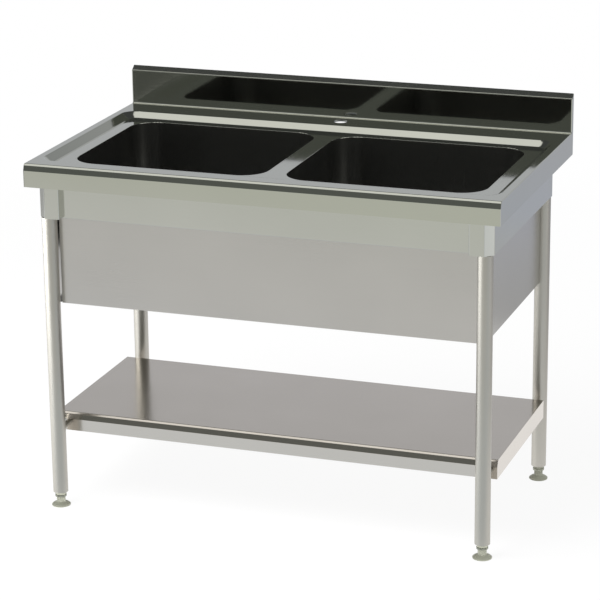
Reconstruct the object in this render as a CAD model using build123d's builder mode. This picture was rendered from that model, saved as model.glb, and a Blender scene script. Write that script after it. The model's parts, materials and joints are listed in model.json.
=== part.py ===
from build123d import *
import os
from math import atan2, cos, hypot, pi, sin, sqrt, tan

# Commercial double bowl sink on four legs. Millimetres, +Z up, front faces -Y.
# The origin lies on the floor, under the middle of the top.

# Bowls
bowl_length = 500.0  # inside, left to right
bowl_width = 450.0  # inside, front to rear
bowl_depth = 250.0  # deck to bowl floor
bowl_corner = 65.0
bowl_floor_bend = 40.0
bowl_sheet = 1.2
bowl_flange = 10.0  # weld flange under the deck
bowl_gap = 50.0  # deck strip between the bowls

# Folded top
rim_height = 900.0
top_sheet = 1.5
rim_side = 20.0
rim_front = 50.0
recess_depth = 15.0
recess_run = 18.0
recess_corner = 40.0
recess_bend = 5.0
deck_side = 37.0
deck_front = 37.0
deck_rear = 26.0
deck_edge = 1.0
ledge_width = 86.0
skirt_depth = 58.0
skirt_bend = 2.5
splash_depth = 15.0
splash_rise = 100.0
splash_return_drop = 11.0
splash_hem = 20.0
splash_fold = 4.0
crease_bend = 3.0

# Front edge of the top and of the undershelf, folded in two steps
edge_slope = 4.6  # upper fold, as deep as it is high
edge_fall = 12.4
edge_lean = 4.0
edge_bend = 3.0

# Tap hole and its backing plate
tap_hole = 35.0
tap_plate_length = 80.0
tap_plate_width = 70.0
tap_plate_thickness = 3.0
tap_relief = 0.5  # the sheet's hole stands back from the plate's

# Underframe
frame_front_inset = 20.0
frame_rear_inset = 90.0
frame_side_inset = 24.0
frame_sheet = 1.5
frame_drop = 140.0  # rim to the rails' bottom edge
bracket_chamfer = 20.0
bracket_bend = 4.0
bracket_lap = 17.0  # bracket past the leg
rail_recess = 18.5
rail_hem = 17.5
rail_rear_seat = 13.0
stiffener_depth = 30.0

# Legs
leg_diameter = 38.0
leg_wall = 1.5
leg_room = 1.5
plug_length = 35.0
leg_bolt = 10.0
leg_bolt_head_width = 16.0
leg_bolt_head_height = 6.4
leg_bolt_length = 28.0

# Cladding panels
panel_drop = 364.0  # rim to the panels' bottom edge
panel_sheet = 1.0
panel_flange = 13.0
panel_tuck = 15.0  # full width behind the rail's bottom edge
side_panel_inset = 24.0

# Undershelf
shelf_top = 233.0
shelf_lip = 47.0
shelf_sheet = 1.2
shelf_leg_offset = 48.0
hat_width = 60.0
hat_depth = 25.0
hat_flange = 12.0

# Shelf fixings
spacer_diameter = 14.0
shelf_bolt = 8.0
bolt_head_width = 13.0
bolt_head_height = 5.3
rivet_nut_diameter = 11.0
rivet_nut_length = 12.0

# Screws in the underframe
screw_diameter = 6.0
screw_head_diameter = 10.0
screw_head_height = 4.0
screw_margin = 3.0

# Screw feet
pad_diameter = 48.0
pad_edge = 2.5
pad_dome = 9.0
neck_diameter = 22.0
neck_height = 23.4
ring_diameter = 29.0
ring_height = 6.0
ring_notch = 3.0
ring_notches = 8
collar_diameter = 28.0
collar_height = 7.0
insert_depth = 45.0
stem_diameter = 12.0
stem_length = 48.0
spindle_diameter = 14.0
socket_floor = 4.0

# Waste fittings
waste_flange_diameter = 84.0
waste_flange_thickness = 3.0
waste_body_diameter = 54.0
waste_thread_spare = 3.8  # body left below the backnut
waste_groove_diameter = 45.0
waste_groove_width = 2.0
waste_tail_diameter = 47.8
waste_tail_length = 23.0
waste_bore = 40.0
strainer_hole = 9.0
strainer_holes = 6
gasket_diameter = 76.0
gasket_thickness = 3.0
backnut_width = 66.0
backnut_height = 12.0

# Clearances
fit = 0.05  # radial, press and running fits
bolt_room = 0.2  # radial, screws in their holes
part_gap = 0.5  # between neighbouring sheets
foot_gap = 0.3  # between turning pieces

# Worked out from the sizes above
top_length = 2 * (rim_side + recess_run + deck_side + bowl_length) + bowl_gap
deck_length = top_length - 2 * (rim_side + recess_run)
deck_width = deck_front + bowl_width + deck_rear
top_depth = rim_front + 2 * recess_run + deck_width + ledge_width + splash_depth
end_x = top_length / 2
front_y = -top_depth / 2
rear_y = top_depth / 2
splash_y = rear_y - splash_depth
splash_top = rim_height + splash_rise
skirt_bottom = rim_height - skirt_depth
deck_z = rim_height - recess_depth
under_deck = deck_z - top_sheet
deck_y = front_y + rim_front + recess_run + deck_width / 2
deck_rear_y = deck_y + deck_width / 2
bowl_x = (bowl_gap + bowl_length) / 2
bowl_y = front_y + rim_front + recess_run + deck_front + bowl_width / 2
bowl_floor = deck_z - bowl_depth
tap_y = splash_y - ledge_width / 2
waste_body_length = bowl_sheet + gasket_thickness + backnut_height + waste_thread_spare
waste_length = waste_body_length + waste_groove_width + waste_tail_length

frame_bottom = rim_height - frame_drop
panel_bottom = rim_height - panel_drop
frame_x = end_x - frame_side_inset
frame_front = front_y + frame_front_inset
frame_rear = rear_y - frame_rear_inset
frame_y = (frame_front + frame_rear) / 2
frame_half = (frame_rear - frame_front) / 2
leg_radius = leg_diameter / 2
leg_inner = leg_radius - leg_wall
leg_setback = leg_radius + frame_sheet + leg_room
leg_half = frame_half - leg_setback
leg_clear = leg_setback + leg_radius + part_gap
bracket_width = leg_setback + leg_radius + bracket_lap
rail_top = under_deck
web_top = rail_top - frame_sheet
leg_top = frame_bottom
web_edge = leg_clear - part_gap
rail_half = frame_x - leg_clear
rail_back = rail_recess + frame_sheet + part_gap
bowl_weld = bowl_sheet + bowl_flange + part_gap
side_flange_x = bowl_x + bowl_length / 2 + bowl_weld
front_flange_y = bowl_y - bowl_width / 2 - bowl_weld
rear_flange_y = deck_rear_y - rail_rear_seat
rail_screw = leg_setback + leg_radius + screw_head_diameter / 2 + screw_margin
side_rail_half = frame_half - bracket_width
side_flange_half = frame_half - rail_screw + screw_head_diameter

shelf_half = leg_half - shelf_leg_offset
shelf_bolt_z = shelf_top - (edge_slope + edge_fall + shelf_lip) / 2
ring_bottom = neck_height + foot_gap
collar_bottom = ring_bottom + ring_height + foot_gap
leg_bottom = collar_bottom + collar_height

corners = {
    "front_left": (-1, -1),
    "front_right": (1, -1),
    "rear_left": (-1, 1),
    "rear_right": (1, 1),
}
sides = {"left": -1, "right": 1}

os.makedirs("parts", exist_ok=True)


def save(piece, name):
    piece.label = name
    export_step(piece, f"parts/{name}.step")


def inset(corner, across, along):
    """A plan point measured inwards from a corner of the underframe."""
    side, end = corners[corner]
    return (side * (frame_x - across), frame_y + end * (frame_half - along))


def inset_box(corner, across, along, far_across, far_along):
    """A plan rectangle between two such points."""
    return [
        inset(corner, across, along),
        inset(corner, far_across, along),
        inset(corner, far_across, far_along),
        inset(corner, across, far_along),
    ]


def leg_place(corner):
    return inset(corner, leg_setback, leg_setback)


def rail_screws(corner):
    """Plan places of the two screws that join a bracket to its cross rail and its side rail."""
    return [
        inset(corner, rail_screw, (rail_back + bracket_width) / 2),
        inset(corner, leg_setback, rail_screw),
    ]


def front_edge(y, z, gap):
    """Corners of a front edge that falls in two folds, drawn in by a gap."""
    lean = atan2(edge_lean, edge_fall)
    steep = Vector(cos(lean), -sin(lean))
    slope = Vector(sin(pi / 4), -cos(pi / 4))
    fold = (steep + slope) * (gap / (1 + steep.dot(slope)))
    low = (y + gap, z - edge_slope - edge_fall - gap * tan(lean / 2))
    middle = (y + edge_lean + fold.X, z - edge_slope + fold.Y)
    top = (y + edge_lean + edge_slope + gap * tan(pi / 8), z - gap)
    return low, middle, top


# Hollow under the folded top, with the recessed tray left standing in it
return_slope = splash_return_drop / splash_depth
return_sheet = top_sheet * hypot(1, return_slope)
crease_z = splash_top - splash_return_drop
with BuildPart() as top_hollow:
    with BuildSketch(Plane.YZ):
        with BuildLine():
            FilletPolyline(
                (front_y + top_sheet, skirt_bottom),
                *front_edge(front_y, rim_height, top_sheet),
                (splash_y + top_sheet, rim_height - top_sheet),
                (splash_y + top_sheet, crease_z + return_slope * top_sheet - return_sheet),
                (rear_y - top_sheet, splash_top - return_slope * top_sheet - return_sheet),
                (rear_y - top_sheet, splash_top - splash_hem),
                (rear_y, splash_top - splash_hem),
                (rear_y, skirt_bottom),
                radius=[
                    0,
                    *[edge_bend - top_sheet] * 3,
                    splash_fold + top_sheet,
                    crease_bend - top_sheet,
                    0,
                    0,
                    0,
                    0,
                ],
                close=True,
            )
        make_face()
    extrude(amount=end_x - top_sheet, both=True)
    for height, run, corner_radius in [
        (rim_height, recess_run, recess_corner),
        (deck_z, 0, recess_corner - recess_run),
    ]:
        with BuildSketch(Plane.XY.offset(height - top_sheet)):
            with Locations((0, deck_y)):
                RectangleRounded(deck_length + 2 * run, deck_width + 2 * run, corner_radius)
    loft(ruled=True, mode=Mode.SUBTRACT)

# Folded top: skirts, front edge, rim, recess, rear ledge and splashback
with BuildPart() as sink_top:
    with BuildSketch(Plane.YZ):
        with BuildLine():
            FilletPolyline(
                (front_y, skirt_bottom),
                *front_edge(front_y, rim_height, 0),
                (splash_y, rim_height),
                (splash_y, crease_z),
                (rear_y, splash_top),
                (rear_y, skirt_bottom),
                radius=[0, *[edge_bend] * 3, splash_fold, crease_bend, 0, 0],
                close=True,
            )
        make_face()
    extrude(amount=end_x, both=True)
    rim_ends = (
        sink_top.edges()
        .filter_by(Axis.Y)
        .filter_by_position(Axis.Z, rim_height - fit, rim_height + fit)
    )
    fillet(rim_ends, skirt_bend)
    add(top_hollow.part, mode=Mode.SUBTRACT)
    for height, run, corner_radius in [
        (rim_height, recess_run, recess_corner),
        (deck_z, 0, recess_corner - recess_run),
    ]:
        with BuildSketch(Plane.XY.offset(height)):
            with Locations((0, deck_y)):
                RectangleRounded(deck_length + 2 * run, deck_width + 2 * run, corner_radius)
    loft(ruled=True, mode=Mode.SUBTRACT)
    recess_half = deck_length / 2 + recess_run
    recess_front = deck_y - deck_width / 2 - recess_run
    recess_rear = deck_rear_y + recess_run
    recess_edges = (
        sink_top.edges()
        .filter_by_position(Axis.Z, deck_z - fit, rim_height + fit)
        .filter_by_position(Axis.X, -recess_half - fit, recess_half + fit)
        .filter_by_position(Axis.Y, recess_front - fit, recess_rear + fit)
        .filter_by(lambda edge: abs(edge.bounding_box().size.Z) < fit)
    )
    fillet(recess_edges, recess_bend)
    with BuildSketch(Plane.XY.offset(deck_z)):
        with Locations((-bowl_x, bowl_y), (bowl_x, bowl_y)):
            RectangleRounded(bowl_length, bowl_width, bowl_corner)
    extrude(amount=-top_sheet, mode=Mode.SUBTRACT)
    bowl_lips = (
        sink_top.edges()
        .filter_by_position(Axis.Z, deck_z - fit, deck_z + fit)
        .filter_by_position(Axis.Y, bowl_y - bowl_width / 2 - fit, bowl_y + bowl_width / 2 + fit)
        .filter_by_position(Axis.X, -bowl_x - bowl_length / 2 - fit, bowl_x + bowl_length / 2 + fit)
    )
    fillet(bowl_lips, deck_edge)
    with BuildSketch(Plane.XY.offset(rim_height)):
        with Locations((0, tap_y)):
            Circle(tap_hole / 2 + tap_relief)
    extrude(amount=-top_sheet, mode=Mode.SUBTRACT)
save(sink_top.part, "sink_top")

# Backing plate of the tap hole
with BuildPart() as tap_plate:
    with BuildSketch(Plane.XY.offset(rim_height - top_sheet)):
        with Locations((0, tap_y)):
            Rectangle(tap_plate_length, tap_plate_width)
            Circle(tap_hole / 2, mode=Mode.SUBTRACT)
    extrude(amount=-tap_plate_thickness)
save(tap_plate.part, "tap_plate")

# Stiffener under the deck strip between the bowls
stiffener_half = bowl_gap / 2 - bowl_weld
with BuildPart() as centre_stiffener:
    with BuildSketch(Plane.XZ.offset(-front_flange_y - part_gap)):
        with Locations((0, under_deck - stiffener_depth / 2)):
            Rectangle(2 * stiffener_half, stiffener_depth)
        with Locations((0, under_deck - frame_sheet - stiffener_depth / 2)):
            Rectangle(2 * (stiffener_half - frame_sheet), stiffener_depth, mode=Mode.SUBTRACT)
    extrude(amount=front_flange_y + 2 * part_gap - rear_flange_y)
save(centre_stiffener.part, "centre_stiffener")


def make_bowl(place):
    """Pressed bowl with its weld flange and the hole for the waste."""
    with BuildPart() as cavity:
        with BuildSketch(Plane.XY.offset(under_deck)):
            with Locations(place):
                RectangleRounded(bowl_length, bowl_width, bowl_corner)
        extrude(amount=bowl_floor - under_deck)
        fillet(cavity.faces().sort_by(Axis.Z)[0].edges(), bowl_floor_bend)
    with BuildPart() as bowl:
        with BuildSketch(Plane.XY.offset(under_deck)):
            with Locations(place):
                RectangleRounded(
                    bowl_length + 2 * bowl_sheet,
                    bowl_width + 2 * bowl_sheet,
                    bowl_corner + bowl_sheet,
                )
        extrude(amount=bowl_floor - bowl_sheet - under_deck)
        fillet(bowl.faces().sort_by(Axis.Z)[0].edges(), bowl_floor_bend + bowl_sheet)
        with BuildSketch(Plane.XY.offset(under_deck)):
            with Locations(place):
                RectangleRounded(
                    bowl_length + 2 * (bowl_sheet + bowl_flange),
                    bowl_width + 2 * (bowl_sheet + bowl_flange),
                    bowl_corner + bowl_sheet + bowl_flange,
                )
        extrude(amount=-bowl_sheet)
        add(cavity.part, mode=Mode.SUBTRACT)
        with BuildSketch(Plane.XY.offset(bowl_floor)):
            with Locations(place):
                Circle(waste_body_diameter / 2 + bolt_room)
        extrude(amount=-bowl_sheet, mode=Mode.SUBTRACT)
    return bowl.part


def make_waste_flange(place):
    """Strainer flange on the bowl floor, with the body for the backnut and the trap's tail under it."""
    with BuildPart() as waste:
        with BuildSketch(Plane.XY.offset(bowl_floor)):
            with Locations(place):
                Circle(waste_flange_diameter / 2)
        extrude(amount=waste_flange_thickness)
        chamfer(waste.faces().sort_by(Axis.Z)[-1].edges(), waste_flange_thickness / 2)
        for diameter, drop, length in [
            (waste_body_diameter, 0, waste_body_length),
            (waste_groove_diameter, waste_body_length, waste_groove_width),
            (waste_tail_diameter, waste_body_length + waste_groove_width, waste_tail_length),
        ]:
            with BuildSketch(Plane.XY.offset(bowl_floor - drop)):
                with Locations(place):
                    Circle(diameter / 2)
            extrude(amount=-length)
        with BuildSketch(Plane.XY.offset(bowl_floor)):
            with Locations(place):
                Circle(waste_bore / 2)
        extrude(amount=-waste_length, mode=Mode.SUBTRACT)
        with BuildSketch(Plane.XY.offset(bowl_floor)):
            with Locations(place):
                Circle(strainer_hole / 2)
                with PolarLocations((waste_bore - strainer_hole) / 2 - screw_margin, strainer_holes):
                    Circle(strainer_hole / 2)
        extrude(amount=waste_flange_thickness, mode=Mode.SUBTRACT)
    return waste.part


def make_waste_gasket(place):
    """Rubber washer between the bowl floor and the backnut."""
    with BuildPart() as gasket:
        with BuildSketch(Plane.XY.offset(bowl_floor - bowl_sheet)):
            with Locations(place):
                Circle(gasket_diameter / 2)
                Circle(waste_body_diameter / 2 + fit, mode=Mode.SUBTRACT)
        extrude(amount=-gasket_thickness)
    return gasket.part


def make_waste_nut(place):
    """Hexagon backnut on the waste's body."""
    with BuildPart() as nut:
        with BuildSketch(Plane.XY.offset(bowl_floor - bowl_sheet - gasket_thickness)):
            with Locations(place):
                RegularPolygon(backnut_width / 2, 6, major_radius=False)
                Circle(waste_body_diameter / 2 + fit, mode=Mode.SUBTRACT)
        extrude(amount=-backnut_height)
    return nut.part


for name, side in sides.items():
    bowl_place = (side * bowl_x, bowl_y)
    save(make_bowl(bowl_place), f"{name}_bowl")
    save(make_waste_flange(bowl_place), f"{name}_waste_flange")
    save(make_waste_gasket(bowl_place), f"{name}_waste_gasket")
    save(make_waste_nut(bowl_place), f"{name}_waste_nut")


def make_cross_rail(corner, flange_y, name):
    """Front or rear rail from leg to leg: face, flange under the deck, short hem at the bottom."""
    face_y = inset(corner, 0, rail_recess)[1]
    back_y = inset(corner, 0, rail_recess + frame_sheet)[1]
    hem_y = inset(corner, 0, rail_recess + rail_hem)[1]
    with BuildPart() as rail:
        with BuildSketch(Plane.YZ):
            with BuildLine():
                Polyline(
                    (face_y, frame_bottom),
                    (face_y, rail_top),
                    (flange_y, rail_top),
                    (flange_y, web_top),
                    (back_y, web_top),
                    (back_y, frame_bottom + frame_sheet),
                    (hem_y, frame_bottom + frame_sheet),
                    (hem_y, frame_bottom),
                    close=True,
                )
            make_face()
        extrude(amount=rail_half, both=True)
        bend = rail.edges().filter_by(Axis.X).sort_by_distance((0, face_y, frame_bottom))[0]
        fillet(bend, frame_sheet)
        with BuildSketch(Plane.XY.offset(rail_top)):
            with Locations(*rail_holes[name]):
                Circle(screw_diameter / 2 + bolt_room)
        extrude(amount=-frame_sheet, mode=Mode.SUBTRACT)
    return rail.part


def make_side_rail(side, name):
    """Side rail between two brackets: face, flange under the deck, ledge at the bottom."""
    with BuildPart() as rail:
        with BuildSketch(Plane.XZ.offset(-frame_y)):
            with BuildLine():
                Polyline(
                    (side * (frame_x - frame_sheet), web_top),
                    (side * frame_x, web_top),
                    (side * frame_x, frame_bottom),
                    (side * (frame_x - side_panel_inset), frame_bottom),
                    (side * (frame_x - side_panel_inset), frame_bottom + frame_sheet),
                    (side * (frame_x - frame_sheet), frame_bottom + frame_sheet),
                    close=True,
                )
            make_face()
        extrude(amount=side_rail_half, both=True)
        bend = rail.edges().filter_by(Axis.Y).sort_by_distance((side * frame_x, frame_y, frame_bottom))[0]
        fillet(bend, frame_sheet)
        with BuildSketch(Plane.XY.offset(web_top)):
            with Locations((side * (frame_x + side_flange_x) / 2, frame_y)):
                Rectangle(frame_x - side_flange_x, 2 * side_flange_half)
        extrude(amount=frame_sheet)
        with BuildSketch(Plane.XY.offset(rail_top)):
            with Locations(*rail_holes[name]):
                Circle(screw_diameter / 2 + bolt_room)
        extrude(amount=-frame_sheet, mode=Mode.SUBTRACT)
    return rail.part


# Places of the panel screws, at the quarter points of each panel's top flange
panel_face = rail_recess + rail_hem
panel_screw_inset = panel_face + panel_sheet + panel_flange / 2
side_screw_x = frame_x - side_panel_inset - panel_sheet - panel_flange / 2
front_screw_y = frame_front + panel_screw_inset
panel_screw_span = rail_half / 2
side_screw_span = side_rail_half / 2
front_panel_screws = [(x, front_screw_y) for x in (-panel_screw_span, panel_screw_span)]
side_panel_screws = {
    name: [(side * side_screw_x, frame_y + y) for y in (-side_screw_span, side_screw_span)]
    for name, side in sides.items()
}

# Screw holes of each rail: for its brackets and its panel
rail_holes = {
    "front": front_panel_screws + [rail_screws(f"front_{side}")[0] for side in sides],
    "rear": [rail_screws(f"rear_{side}")[0] for side in sides],
    "left": side_panel_screws["left"] + [rail_screws(f"{end}_left")[1] for end in ("front", "rear")],
    "right": side_panel_screws["right"] + [rail_screws(f"{end}_right")[1] for end in ("front", "rear")],
}
save(make_cross_rail("front_left", front_flange_y, "front"), "front_rail")
save(make_cross_rail("rear_left", rear_flange_y, "rear"), "rear_rail")
for name, side in sides.items():
    save(make_side_rail(side, name), f"{name}_rail")


def make_bracket(corner):
    """Corner bracket folded round the leg top: walls, a web under the rails and one on the leg."""
    with BuildPart() as bracket:
        with BuildSketch(Plane.XY.offset(frame_bottom)):
            with BuildLine():
                FilletPolyline(
                    inset(corner, bracket_width, 0),
                    inset(corner, bracket_chamfer, 0),
                    inset(corner, 0, bracket_chamfer),
                    inset(corner, 0, bracket_width),
                    inset(corner, bracket_width, bracket_width),
                    radius=[bracket_bend, bracket_bend, bracket_bend, 0, 0],
                    close=True,
                )
            make_face()
            offset(amount=-frame_sheet, mode=Mode.SUBTRACT)
            far = bracket_width - frame_sheet
            for across, along in [(far, rail_recess), (frame_sheet, far)]:
                open_end = inset_box(corner, across, along, bracket_width, bracket_width)
                Polygon(*open_end, align=None, mode=Mode.SUBTRACT)
        extrude(amount=web_top - frame_bottom)
        with BuildSketch(Plane.XY.offset(web_top)):
            with BuildLine():
                FilletPolyline(
                    inset(corner, web_edge, 0),
                    inset(corner, bracket_chamfer, 0),
                    inset(corner, 0, bracket_chamfer),
                    inset(corner, 0, bracket_width),
                    inset(corner, bracket_width, bracket_width),
                    inset(corner, bracket_width, rail_back),
                    inset(corner, web_edge, rail_back),
                    radius=[0, bracket_bend, bracket_bend, 0, 0, 0, 0],
                    close=True,
                )
            make_face()
            with Locations(*rail_screws(corner)):
                Circle(screw_diameter / 2 + bolt_room, mode=Mode.SUBTRACT)
        extrude(amount=-frame_sheet)
        with BuildSketch(Plane.XY.offset(frame_bottom)):
            with BuildLine():
                FilletPolyline(
                    inset(corner, web_edge, 0),
                    inset(corner, bracket_chamfer, 0),
                    inset(corner, 0, bracket_chamfer),
                    inset(corner, 0, web_edge),
                    inset(corner, web_edge, web_edge),
                    radius=[0, bracket_bend, bracket_bend, 0, 0],
                    close=True,
                )
            make_face()
            with Locations(leg_place(corner)):
                Circle(leg_bolt / 2 + bolt_room, mode=Mode.SUBTRACT)
        extrude(amount=frame_sheet)
    return bracket.part


def make_leg_plug(corner):
    """Plug in the leg's top, tapped for the bolt that hangs the leg on its bracket."""
    with BuildPart() as plug:
        with BuildSketch(Plane.XY.offset(leg_top)):
            with Locations(leg_place(corner)):
                Circle(leg_inner - fit)
                Circle(leg_bolt / 2 + fit, mode=Mode.SUBTRACT)
        extrude(amount=-plug_length)
    return plug.part


def shelf_side(corner, height):
    """Plane on a leg's axis that looks along the shelf bolt, from the leg to the shelf."""
    x, y = leg_place(corner)
    return Plane(origin=(x, y, height), z_dir=(0, -corners[corner][1], 0))


def make_leg(corner):
    """Leg tube with the hole for its rivet nut."""
    with BuildPart() as leg:
        with BuildSketch(Plane.XY.offset(leg_bottom)):
            with Locations(leg_place(corner)):
                Circle(leg_radius)
                Circle(leg_inner, mode=Mode.SUBTRACT)
        extrude(amount=leg_top - leg_bottom)
        with BuildSketch(shelf_side(corner, shelf_bolt_z)):
            Circle(rivet_nut_diameter / 2 + fit)
        extrude(amount=leg_diameter, mode=Mode.SUBTRACT)
    return leg.part


def make_leg_insert(corner):
    """Plastic plug in the leg's foot, with a collar below the tube and a bore for the stem."""
    with BuildPart() as insert:
        with BuildSketch(Plane.XY.offset(leg_bottom)):
            with Locations(leg_place(corner)):
                Circle(leg_inner - fit)
        extrude(amount=insert_depth)
        with BuildSketch(Plane.XY.offset(collar_bottom)):
            with Locations(leg_place(corner)):
                Circle(collar_diameter / 2)
        extrude(amount=collar_height)
        with BuildSketch(Plane.XY.offset(collar_bottom)):
            with Locations(leg_place(corner)):
                Circle(stem_diameter / 2 + fit)
        extrude(amount=collar_height + insert_depth, mode=Mode.SUBTRACT)
    return insert.part


def make_foot_stem(corner):
    """Threaded stem with its adjusting ring, and a spindle that turns in the pad."""
    with BuildPart() as stem:
        with BuildSketch(Plane.XY.offset(socket_floor + foot_gap)):
            with Locations(leg_place(corner)):
                Circle(spindle_diameter / 2)
        extrude(amount=ring_bottom - socket_floor - foot_gap)
        with BuildSketch(Plane.XY.offset(ring_bottom)):
            with Locations(leg_place(corner)):
                Circle(ring_diameter / 2)
                with PolarLocations(ring_diameter / 2, ring_notches):
                    Circle(ring_notch / 2, mode=Mode.SUBTRACT)
        extrude(amount=ring_height)
        with BuildSketch(Plane.XY.offset(ring_bottom + ring_height)):
            with Locations(leg_place(corner)):
                Circle(stem_diameter / 2)
        extrude(amount=stem_length)
        chamfer(stem.faces().sort_by(Axis.Z)[-1].edges(), screw_margin / 2)
    return stem.part


def make_foot_pad(corner):
    """Dished pad with a neck and a socket for the spindle."""
    x, y = leg_place(corner)
    with BuildPart() as pad:
        with BuildSketch(Plane(origin=(x, y, 0), x_dir=(1, 0, 0), z_dir=(0, -1, 0))):
            with BuildLine():
                Polyline((0, neck_height), (0, 0), (pad_diameter / 2, 0), (pad_diameter / 2, pad_edge))
                RadiusArc((pad_diameter / 2, pad_edge), (neck_diameter / 2, pad_dome), -pad_diameter / 2)
                Polyline((neck_diameter / 2, pad_dome), (neck_diameter / 2, neck_height), (0, neck_height))
            make_face()
        revolve(axis=Axis((x, y, 0), (0, 0, 1)))
        with BuildSketch(Plane.XY.offset(neck_height)):
            with Locations((x, y)):
                Circle(spindle_diameter / 2 + fit)
        extrude(amount=socket_floor - neck_height, mode=Mode.SUBTRACT)
    return pad.part


for corner in corners:
    save(make_bracket(corner), f"{corner}_bracket")
    save(make_leg_plug(corner), f"{corner}_leg_plug")
    save(make_leg(corner), f"{corner}_leg")
    save(make_leg_insert(corner), f"{corner}_leg_insert")
    save(make_foot_stem(corner), f"{corner}_foot_stem")
    save(make_foot_pad(corner), f"{corner}_foot_pad")

# Cladding: a sheet folded in at top and bottom, narrower where it passes between the brackets
tuck_top = frame_bottom + panel_tuck
with BuildPart() as front_panel:
    face_y = frame_front + panel_face
    with BuildSketch(Plane.YZ):
        with Locations((face_y, panel_bottom)):
            Rectangle(panel_sheet + panel_flange, panel_sheet, align=Align.MIN)
            Rectangle(panel_sheet, tuck_top - panel_bottom, align=Align.MIN)
    extrude(amount=rail_half, both=True)
    with BuildSketch(Plane.YZ):
        with Locations((face_y, web_top)):
            Rectangle(panel_sheet + panel_flange, panel_sheet, align=(Align.MIN, Align.MAX))
            Rectangle(panel_sheet, web_top - tuck_top, align=(Align.MIN, Align.MAX))
    extrude(amount=frame_x - bracket_width - part_gap, both=True)
    with BuildSketch(Plane.XY.offset(web_top)):
        with Locations(*front_panel_screws):
            Circle(screw_diameter / 2 + bolt_room)
    extrude(amount=-panel_sheet, mode=Mode.SUBTRACT)
save(front_panel.part, "front_panel")


def make_side_panel(side, name):
    """Side panel, hung inside its rail."""
    face_x = frame_x - side_panel_inset
    inner = (Align.MAX, Align.MIN) if side > 0 else (Align.MIN, Align.MIN)
    hung = (inner[0], Align.MAX)
    with BuildPart() as panel:
        with BuildSketch(Plane.XZ.offset(-frame_y)):
            with Locations((side * face_x, panel_bottom)):
                Rectangle(panel_sheet + panel_flange, panel_sheet, align=inner)
                Rectangle(panel_sheet, tuck_top - panel_bottom, align=inner)
        extrude(amount=frame_half - leg_clear, both=True)
        with BuildSketch(Plane.XZ.offset(-frame_y)):
            with Locations((side * face_x, web_top)):
                Rectangle(panel_sheet + panel_flange, panel_sheet, align=hung)
                Rectangle(panel_sheet, web_top - tuck_top, align=hung)
        extrude(amount=side_rail_half - part_gap, both=True)
        with BuildSketch(Plane.XY.offset(web_top)):
            with Locations(*side_panel_screws[name]):
                Circle(screw_diameter / 2 + bolt_room)
        extrude(amount=-panel_sheet, mode=Mode.SUBTRACT)
    return panel.part


for name, side in sides.items():
    save(make_side_panel(side, name), f"{name}_panel")

# Undershelf: folded front edge, lips turned down on all four sides
shelf_bottom = shelf_top - shelf_lip
shelf_front = frame_y - shelf_half
shelf_rear = frame_y + shelf_half
shelf_bolt_places = [leg_place(corner)[0] for corner in ("front_left", "front_right")]
with BuildPart() as undershelf:
    with BuildSketch(Plane.YZ):
        with BuildLine():
            FilletPolyline(
                (shelf_front, shelf_bottom),
                *front_edge(shelf_front, shelf_top, 0),
                (shelf_rear, shelf_top),
                (shelf_rear, shelf_bottom),
                radius=[0, *[edge_bend] * 3, shelf_sheet, 0],
                close=True,
            )
        make_face()
    extrude(amount=frame_x, both=True)
    with BuildSketch(Plane.YZ):
        with BuildLine():
            FilletPolyline(
                (shelf_front + shelf_sheet, shelf_bottom),
                *front_edge(shelf_front, shelf_top, shelf_sheet),
                (shelf_rear - shelf_sheet, shelf_top - shelf_sheet),
                (shelf_rear - shelf_sheet, shelf_bottom),
                radius=[0, *[edge_bend - shelf_sheet] * 3, 0, 0],
                close=True,
            )
        make_face()
    extrude(amount=frame_x - shelf_sheet, both=True, mode=Mode.SUBTRACT)
    with BuildSketch(Plane.XZ.offset(-frame_y)):
        with Locations(*[(x, shelf_bolt_z) for x in shelf_bolt_places]):
            Circle(shelf_bolt / 2 + bolt_room)
    extrude(amount=shelf_half, both=True, mode=Mode.SUBTRACT)
save(undershelf.part, "undershelf")

# Hat section stuck under the shelf, end to end
hat_top = shelf_top - shelf_sheet
with BuildPart() as shelf_stiffener:
    with BuildSketch(Plane.YZ):
        with Locations((frame_y, hat_top)):
            hung = (Align.CENTER, Align.MAX)
            hat_inside = hat_width - 2 * shelf_sheet
            Rectangle(hat_width + 2 * hat_flange, shelf_sheet, align=hung)
            Rectangle(hat_width, hat_depth, align=hung)
            Rectangle(hat_inside, hat_depth - shelf_sheet, align=hung, mode=Mode.SUBTRACT)
    extrude(amount=frame_x - shelf_sheet - part_gap, both=True)
save(shelf_stiffener.part, "shelf_stiffener")

# Spacer tubes between legs and shelf lips, hollowed to sit on the leg
with BuildPart() as shelf_spacers:
    for corner in corners:
        with BuildSketch(shelf_side(corner, shelf_bolt_z)):
            Circle(spacer_diameter / 2)
        extrude(amount=shelf_leg_offset)
    for corner in corners:
        with BuildSketch(Plane.XY.offset(shelf_bottom)):
            with Locations(leg_place(corner)):
                Circle(leg_radius)
        extrude(amount=shelf_lip, mode=Mode.SUBTRACT)
        with BuildSketch(shelf_side(corner, shelf_bolt_z)):
            Circle(shelf_bolt / 2 + bolt_room)
        extrude(amount=shelf_leg_offset, mode=Mode.SUBTRACT)
save(shelf_spacers.part, "shelf_spacers")

# Rivet nuts set in the leg walls
nut_outer = sqrt(leg_inner**2 - (rivet_nut_diameter / 2) ** 2)
with BuildPart() as shelf_rivet_nuts:
    for corner in corners:
        with BuildSketch(shelf_side(corner, shelf_bolt_z).offset(nut_outer + leg_wall)):
            Circle(rivet_nut_diameter / 2)
            Circle(shelf_bolt / 2 + fit, mode=Mode.SUBTRACT)
        extrude(amount=-rivet_nut_length)
save(shelf_rivet_nuts.part, "shelf_rivet_nuts")

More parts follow.
